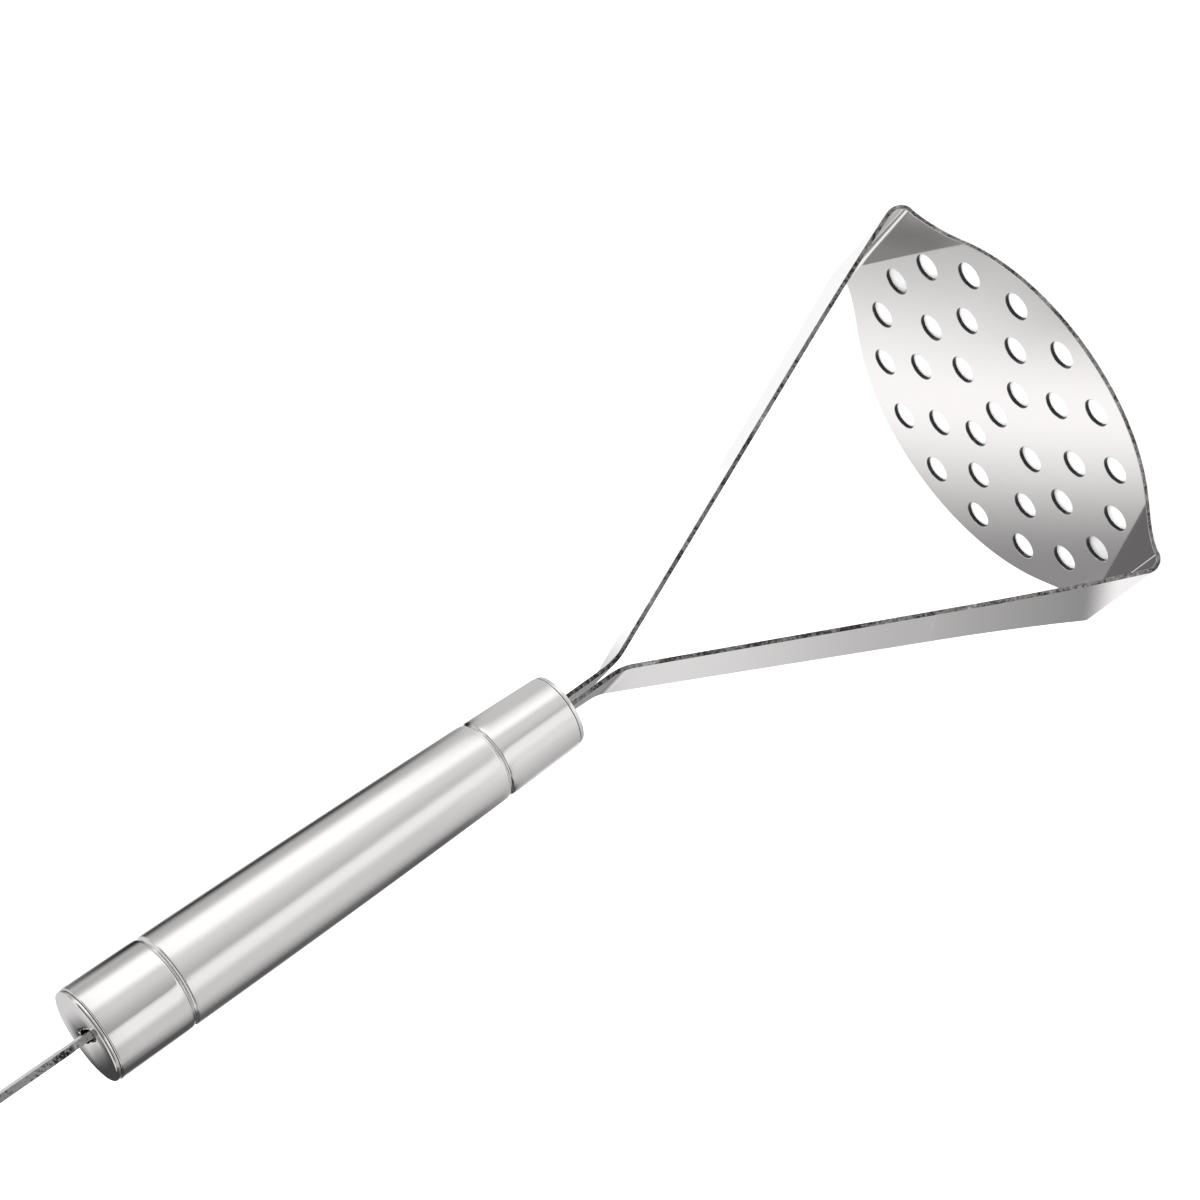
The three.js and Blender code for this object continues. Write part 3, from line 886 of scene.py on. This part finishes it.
def bar_outline(st):
    """The bar from the side, anticlockwise, as (Y, Z): a neck, a shoulder and a round end."""
    face, top = REAR_HIGH.z, BAR_HIGH.z
    eye_z = top - st.width / 2
    neck, wide = st.neck_width / 2, st.width / 2
    corners = np.array([
        [-neck, BAR_LOW.z], [neck, BAR_LOW.z], [neck, face + st.shoulder],
        [wide, face + st.shoulder + st.slope], [wide, eye_z],
    ])
    steps = [np.linspace(a, b, 13)[:-1] for a, b in zip(corners[:-1], corners[1:])]
    arc = wide * unit(np.linspace(0, math.pi / 2, 25)[:-1]) + [0, eye_z]
    right = np.concatenate([*steps[1:], arc])
    left = (right[1:] * [-1, 1])[::-1]
    return np.concatenate([steps[0], right, [[0, top]], left]), eye_z


class MASHER_OT_bar(bpy.types.Operator):
    """Cut the flat bar with the eye that the masher hangs by"""

    bl_idname = "masher.bar"
    bl_label = "Hanging bar"

    def execute(self, context):
        st = context.scene.masher_bar
        outline, eye_z = bar_outline(st)
        segments = context.scene.masher_studio.segments
        eye = st.eye / 2 * unit(-circle(segments // 2)) + [0, eye_z]
        points, normals, faces, face_materials = cut_sheet(
            [outline, eye], [], st.thickness, st.rounding, st.rounding)
        upright = [2, 0, 1]
        place = about_handle(points[:, upright], st.turned)
        turned = about_handle(normals[:, upright], st.turned) - [HANDLE_X, 0, 0]
        bar = mesh_object("bar", place, faces, face_materials, turned, points[:, :2])
        face = grained("bar_steel", st.face, along_strip,
                       roughness=0.16, line=0.04, haze=0.03, step=0.001 * MM)
        edge = sheared("bar_edge", st.edge, shine=0.7)
        settle(bar, [face, edge, edge], "bar_steel", "hanging_bar")
        return {"FINISHED"}


# ---- Weld beads ----


def bead_rings(st, half_length):
    """A bead along Y: a quarter-round section in its corner, as the two legs and a bulging face,
    whose size swells with each ripple and rounds off towards both ends."""
    y = np.linspace(-1, 1, 73)
    least, swell, squareness, root = 0.02, 0.07, 8, 0.02
    end = np.sqrt(np.clip(1 - np.abs(y) ** squareness, least, 1))
    ripple = 1 - swell * np.abs(np.sin(math.pi * y * half_length / st.ripple))
    size = (st.leg * end * ripple)[:, None]
    full = 0.9
    face = unit(np.linspace(0, math.pi / 2, 13)) ** (1 / full)
    section = np.concatenate([[[root, root]], face * (1 - root) + root])
    out, up = section[:, 0] * size, section[:, 1] * size
    along = np.broadcast_to((y * half_length)[:, None], out.shape)
    return out, along, up


class MASHER_OT_welds(bpy.types.Operator):
    """Lay the weld beads that hold the tangs and the bar inside the caps"""

    bl_idname = "masher.welds"
    bl_label = "Weld beads"

    def execute(self, context):
        st = context.scene.masher_weld
        handle = context.scene.masher_handle
        blade = context.scene.masher_blade
        bar = context.scene.masher_bar
        steel = weld_material(st)
        shorter, flatter = 0.97, 0.8
        ends = (
            ("front", FRONT_LOW.z + handle.cap_sheet, 1, blade.tang_gap / 2 + blade.sheet, 0.0),
            ("rear", REAR_HIGH.z - handle.cap_sheet, -1, bar.thickness / 2, bar.turned),
        )
        for end, inside, inward, wall, angle in ends:
            low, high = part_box(end + "_weld_left")
            half_length = (high.y - low.y) / 2 * shorter
            for word, side in (("left", -1), ("right", 1)):
                out, along, up = bead_rings(st, half_length)
                x = side * (wall + st.gap + out)
                z = inside + inward * (st.gap + handle.dish + up * flatter)
                rings = np.stack([x, along, z], axis=-1)[::-side * inward]
                bead = loft(f"bead_{end}_{word}", about_handle(rings, angle), ends_closed=True)
                settle(bead, [steel], "weld_steel", f"{end}_weld_{word}")
        return {"FINISHED"}


# ---- Studio ----

# Cards of the light tent, painted one over another: azimuth from +X in degrees, half width, softness
# of the sides and lean in degrees per metre, lowest and highest edge and their softness in metres, and
# brightness. The azimuth of a leaning card is the one that it has at LEAN_FROM.
CARDS = (
    ("low surround", 170, 75, 15, 0, -1, 0.085, 0.02, 0.5),
    ("side fill", -162, 35, 24, 0, -1, 1, 0.1, 0.66),
    ("low side fill", -142, 22, 20, 0, -1, 0.085, 0.02, 0.85),
    ("bright strip", -120, 17, 10, -130, -1, 1, 0.1, 1.0),
    ("valley beside the strip", -76, 27, 1.5, -130, -1, 1, 0.1, 0.43),
    ("front fill", -38, 55, 24, 0, -1, 1, 0.1, 0.76),
    ("key softbox", -34, 23, 10, 0, -1, 1, 0.1, 1.22),
    ("low shade beside the key", 20, 45, 24, 0, -1, 0.085, 0.02, 0.64),
    ("shade beside the key", 40, 42, 12, 0, 0.085, 1, 0.02, 0.5),
    ("right flag", 46, 16, 12, 0, 0.085, 1, 0.02, 0.03),
    ("back, right", 70, 12, 3, 0, -1, 1, 0.1, 0.58),
    ("back, left", 103, 22, 6, 0, -1, 1, 0.1, 0.3),
    ("back band", 90.2, 10.5, 10, 274, 0.055, 1, 0.006, 1.1),
    ("left flag", 129, 17, 8, 0, 0.085, 1, 0.015, 0.1),
    ("upper back, right", 50, 36.5, 2.5, 0, 0.2, 1, 0.03, 0.7),
    ("upper back, left", 125, 38.5, 2.5, 0, 0.2, 1, 0.03, 0.06),
    ("upper front", -100, 80, 10, 0, 0.2, 1, 0.015, 0.15),
    ("low back flag", 107, 5, 1, 0, -1, 0.066, 0.004, 0.24),
    ("low right card", 66, 11, 3, 0, -1, 0.05, 0.008, 1.06),
    ("low left card", 115, 9, 2, 0, -1, 0.075, 0.01, 0.77),
    ("lowest left card", 117, 11, 3, 0, -1, 0.03, 0.03, 0.5),
)
SHADOWED_LEVEL = 0.2
LEAN_FROM = 0.105


def soft_step(x):
    """Rises from 0 to 1 with level ends as x does."""
    x = np.clip(x, 0, 1)
    return x * x * (3 - 2 * x)


def tent_light(azimuth, height):
    """Brightness of the tent: each card covers what lies under it, with edges that fade evenly."""
    level = np.full(np.broadcast(azimuth, height).shape, SHADOWED_LEVEL)
    for _, centre, half, soft, lean, low, high, fade, bright in CARDS:
        off = azimuth - centre - lean * (height - LEAN_FROM)
        off = np.abs((off + 180) % 360 - 180)
        cover = soft_step((half + soft - off) / (2 * soft))
        cover = cover * soft_step((height - low + fade) / (2 * fade))
        cover = cover * soft_step((high - height + fade) / (2 * fade))
        level = level * (1 - cover) + bright * cover
    return level


def ground_light(x, y):
    """Brightness of the ground as the steel mirrors it: even, with a shaded field beyond the -X arm
    that clears slowly with its distance."""
    field_x, side_fade, field_y, front_fade = -42 * MM, 6 * MM, 8 * MM, 22 * MM
    dark, clearing = 0.24, 1.9
    field = soft_step((field_x - x) / side_fade) * soft_step((y - field_y) / front_fade)
    return (1 - field) + (dark + clearing * y) * field


def glossy_only(piece):
    """Leaves the piece visible in mirrored rays alone."""
    for sight in ("camera", "diffuse", "shadow", "transmission", "volume_scatter"):
        setattr(piece, "visible_" + sight, False)


def glowing(name, place, level):
    """A sheet of light that only the steel's reflections see: rows of points that carry their
    brightness. A row that goes all the way round ends where it began."""
    index = np.arange(level.size).reshape(level.shape)
    sheet = mesh_object(name, place.reshape(-1, 3), quads_between(index))
    light = sheet.data.attributes.new("light", "FLOAT", "POINT")
    light.data.foreach_set("value", level.astype(np.float32).ravel())
    material = bpy.data.materials.new(name)
    material.use_nodes = True
    make = NodeTree(material.node_tree)
    material.node_tree.nodes.clear()
    strength = make.node("ShaderNodeAttribute", attribute_name="light").outputs["Fac"]
    glow = make.node("ShaderNodeEmission", {"Strength": strength})
    out = make.node("ShaderNodeOutputMaterial")
    make.tree.links.new(glow.outputs[0], out.inputs[0])
    material.cycles.emission_sampling = "NONE"
    sheet.data.materials.append(material)
    glossy_only(sheet)


def light_tent(st):
    """A ring wall of light round the masher, a cylinder of azimuth and height, and its ground, a
    disc of azimuth and radius."""
    around, up, outward_steps = 1440, 160, 120
    azimuth = np.linspace(-180, 180, around + 1)[None, :]
    height = np.linspace(0.0, st.tent_height, up + 1)[:, None]
    across, away = np.cos(np.radians(azimuth)), np.sin(np.radians(azimuth))
    wall = np.broadcast_arrays(HANDLE_X + st.tent_radius * across, st.tent_radius * away, height)
    glowing("light_tent", np.stack(wall, axis=-1), tent_light(azimuth, height))
    radius = np.linspace(0.001, 1, outward_steps)[:, None] * st.tent_radius
    x, y = HANDLE_X + radius * across, radius * away
    ground = np.stack([x, y, np.full_like(x, -0.01 * MM)], axis=-1)
    glowing("light_ground", ground, ground_light(x, y))


def arm_flag(st, low, high, away, level):
    """A dark card beside the inner face of the -X arm, which the plate mirrors: as wide as the arm
    and parallel to it, `away` from its middle line between two heights."""
    z = np.linspace(low, high, 12)[:, None]
    x = -st.fold_span / 2 + (z - st.sheet / 2) * st.fold_span / 2 / st.bend_height + away
    y = strip_half_width(st, z, st.bend_height, 0.0) * np.linspace(-1, 1, 9)
    place = np.stack(np.broadcast_arrays(x, y, z), axis=-1)
    glowing("arm_flag", place, np.full(place.shape[:2], level))


def floor_disc(st):
    """A wide floor: rings of points whose radius grows with the square of their number."""
    reach, rings, segments = 3.0, 40, 96
    radius = reach * np.linspace(0.02, 1, rings) ** 2
    place = lathe(at_height(radius[:, None], -0.02 * MM), segments)
    index = np.arange(place[..., 0].size).reshape(place.shape[:2])
    quads = quads_between(np.column_stack([index, index[:, 0]]))
    floor = mesh_object("floor", place.reshape(-1, 3), quads + [index[0].tolist()])
    material = bpy.data.materials.new("floor_paper")
    material.use_nodes = True
    shader = material.node_tree.nodes["Principled BSDF"]
    shader.inputs["Base Color"].default_value = rgba(st.floor)
    shader.inputs["Roughness"].default_value = 0.9
    shader.inputs["Specular IOR Level"].default_value = 0.0
    floor.data.materials.append(material)


def room_light(st):
    """An even white room. Seen in the steel it darkens overhead."""
    world = bpy.data.worlds.new("room")
    world.use_nodes = True
    bpy.context.scene.world = world
    make = NodeTree(world.node_tree)
    world.node_tree.nodes.clear()
    ray = make.node("ShaderNodeLightPath")
    up = make.node("ShaderNodeSeparateXYZ", {0: make.node("ShaderNodeTexCoord").outputs["Generated"]})
    seen = make.range(up.outputs[2], 0.85, 1.0, 0.85, 0.45)
    mirrored = ray.outputs["Is Glossy Ray"]
    even = make.math("MULTIPLY", make.math("SUBTRACT", 1.0, mirrored), st.daylight)
    strength = make.math("ADD", even, make.math("MULTIPLY", mirrored, seen))
    back = make.node("ShaderNodeBackground", {"Color": (1.0, 1.0, 1.0, 1.0), "Strength": strength})
    out = make.node("ShaderNodeOutputWorld")
    make.tree.links.new(back.outputs[0], out.inputs[0])


def place_camera(st):
    """Camera from its place, heading, slope and roll."""
    ch, sh = math.cos(st.heading), math.sin(st.heading)
    cd, sd = math.cos(st.down), math.sin(st.down)
    ahead = Vector((sh * cd, ch * cd, -sd))
    level_right = Vector((ch, -sh, 0.0))
    level_up = level_right.cross(ahead)
    right = math.cos(st.roll) * level_right + math.sin(st.roll) * level_up
    up = right.cross(ahead)
    turned = Matrix((right, up, -ahead)).transposed().to_4x4()
    camera = bpy.data.objects.new("camera", bpy.data.cameras.new("camera"))
    camera.data.lens = st.lens
    camera.data.sensor_width = 36.0
    camera.data.clip_start = 0.01
    camera.matrix_world = Matrix.Translation(st.place) @ turned
    bpy.context.scene.collection.objects.link(camera)
    bpy.context.scene.camera = camera


class MASHER_OT_studio(bpy.types.Operator):
    """Set up the floor, the light and the camera"""

    bl_idname = "masher.studio"
    bl_label = "Studio"

    def execute(self, context):
        st = context.scene.masher_studio
        context.scene.view_settings.view_transform = "Standard"
        place_camera(st)
        floor_disc(st)
        light_tent(st)
        arm_flag(context.scene.masher_blade, 0.95 * MM, 34 * MM, away=3 * MM, level=0.15)
        room_light(st)
        return {"FINISHED"}


# ---- Add-on ----


class MASHER_PT_panel(bpy.types.Panel):
    """Buttons for each piece of the masher"""

    bl_idname = "MASHER_PT_panel"
    bl_label = "Potato masher"
    bl_space_type = "VIEW_3D"
    bl_region_type = "UI"
    bl_category = "Masher"

    def draw(self, context):
        for step in STEPS:
            self.layout.operator(step.bl_idname)
        for key in SETTINGS:
            group_of = getattr(context.scene, key)
            box = self.layout.box()
            for name in group_of.bl_rna.properties.keys():
                if name not in ("rna_type", "name"):
                    box.prop(group_of, name)


STEPS = (MASHER_OT_studio, MASHER_OT_blade, MASHER_OT_handle, MASHER_OT_caps, MASHER_OT_bar,
         MASHER_OT_welds)
SETTINGS = {
    "masher_blade": BladeSettings,
    "masher_handle": HandleSettings,
    "masher_bar": BarSettings,
    "masher_weld": WeldSettings,
    "masher_studio": StudioSettings,
}
CLASSES = (*SETTINGS.values(), *STEPS, MASHER_PT_panel)


def register():
    for one in CLASSES:
        bpy.utils.register_class(one)
    for key, settings in SETTINGS.items():
        setattr(bpy.types.Scene, key, PointerProperty(type=settings))


def unregister():
    for key in SETTINGS:
        delattr(bpy.types.Scene, key)
    for one in reversed(CLASSES):
        bpy.utils.unregister_class(one)


def main():
    register()
    bpy.ops.masher.studio()
    bpy.ops.masher.blade()
    bpy.ops.masher.handle()
    bpy.ops.masher.caps()
    bpy.ops.masher.bar()
    bpy.ops.masher.welds()
    bpy.context.view_layer.update()


if __name__ == "__main__":
    main()
